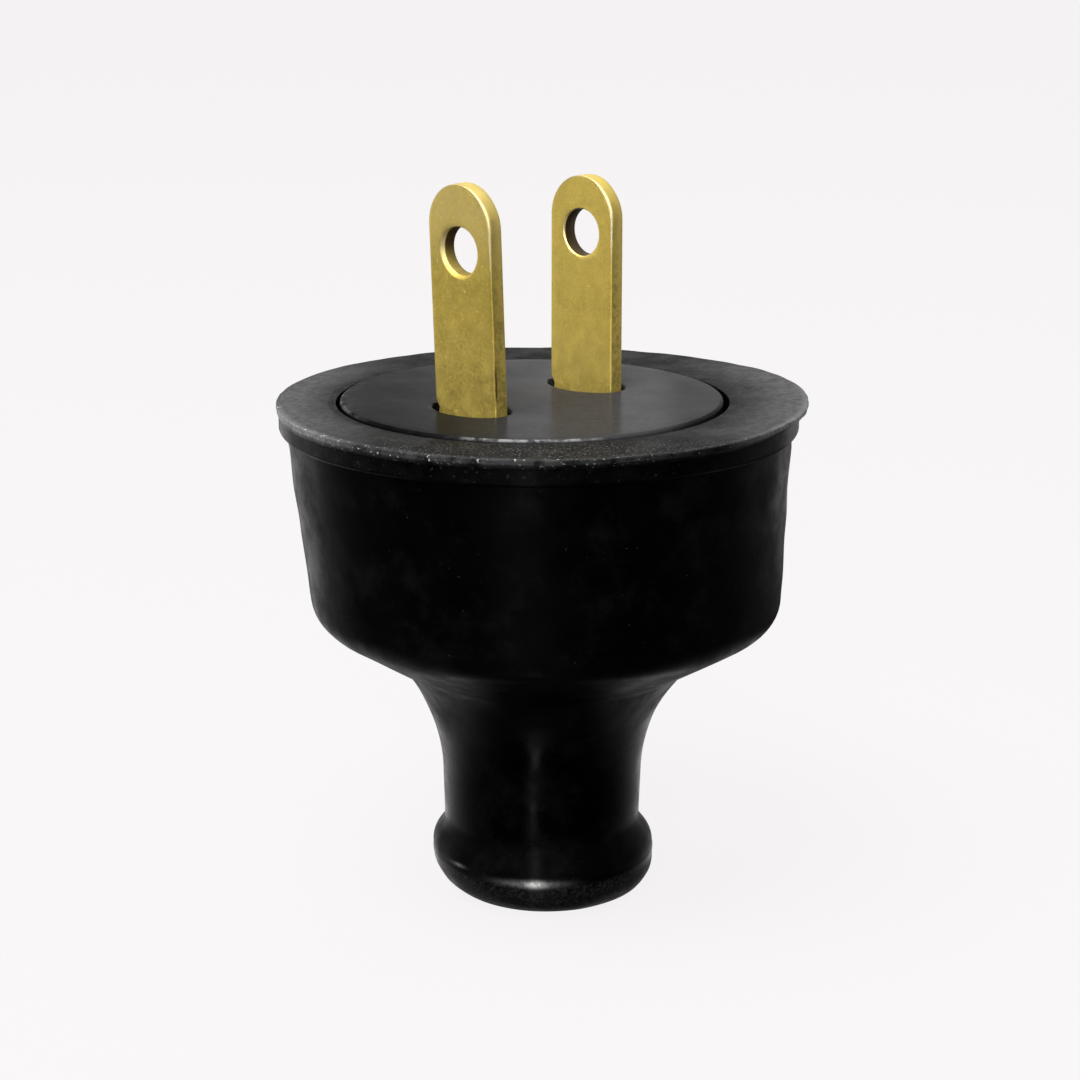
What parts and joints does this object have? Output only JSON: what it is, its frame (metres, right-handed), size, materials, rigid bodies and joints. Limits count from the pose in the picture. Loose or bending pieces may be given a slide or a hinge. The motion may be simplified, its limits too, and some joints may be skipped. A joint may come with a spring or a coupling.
{
  "type": "rubber power plug",
  "caption": "Flat-blade mains plug with a moulded black rubber grip, flanged face, flared neck with a beaded end, and brass blades in a round insert.",
  "frame": {"origin": "centre of the neck's flat end, which the plug stands on", "axes": "+Z out along the blades, X across the two blades, Y along the blades' width"},
  "size_m": [0.0416, 0.0416, 0.0582],
  "materials": {
    "rubber": "worn matte black rubber",
    "moulding": "satin black hard moulding",
    "blade_brass": "dull tarnished brass",
    "terminal_brass": "plain brass"
  },
  "bodies": {
    "root": {"rubber_body": "rubber", "insert_disc": "moulding", "front_blade": "blade_brass", "rear_blade": "blade_brass", "front_bushing": "terminal_brass", "rear_bushing": "terminal_brass", "front_screw": "terminal_brass", "rear_screw": "terminal_brass"}
  },
  "joints": []
}
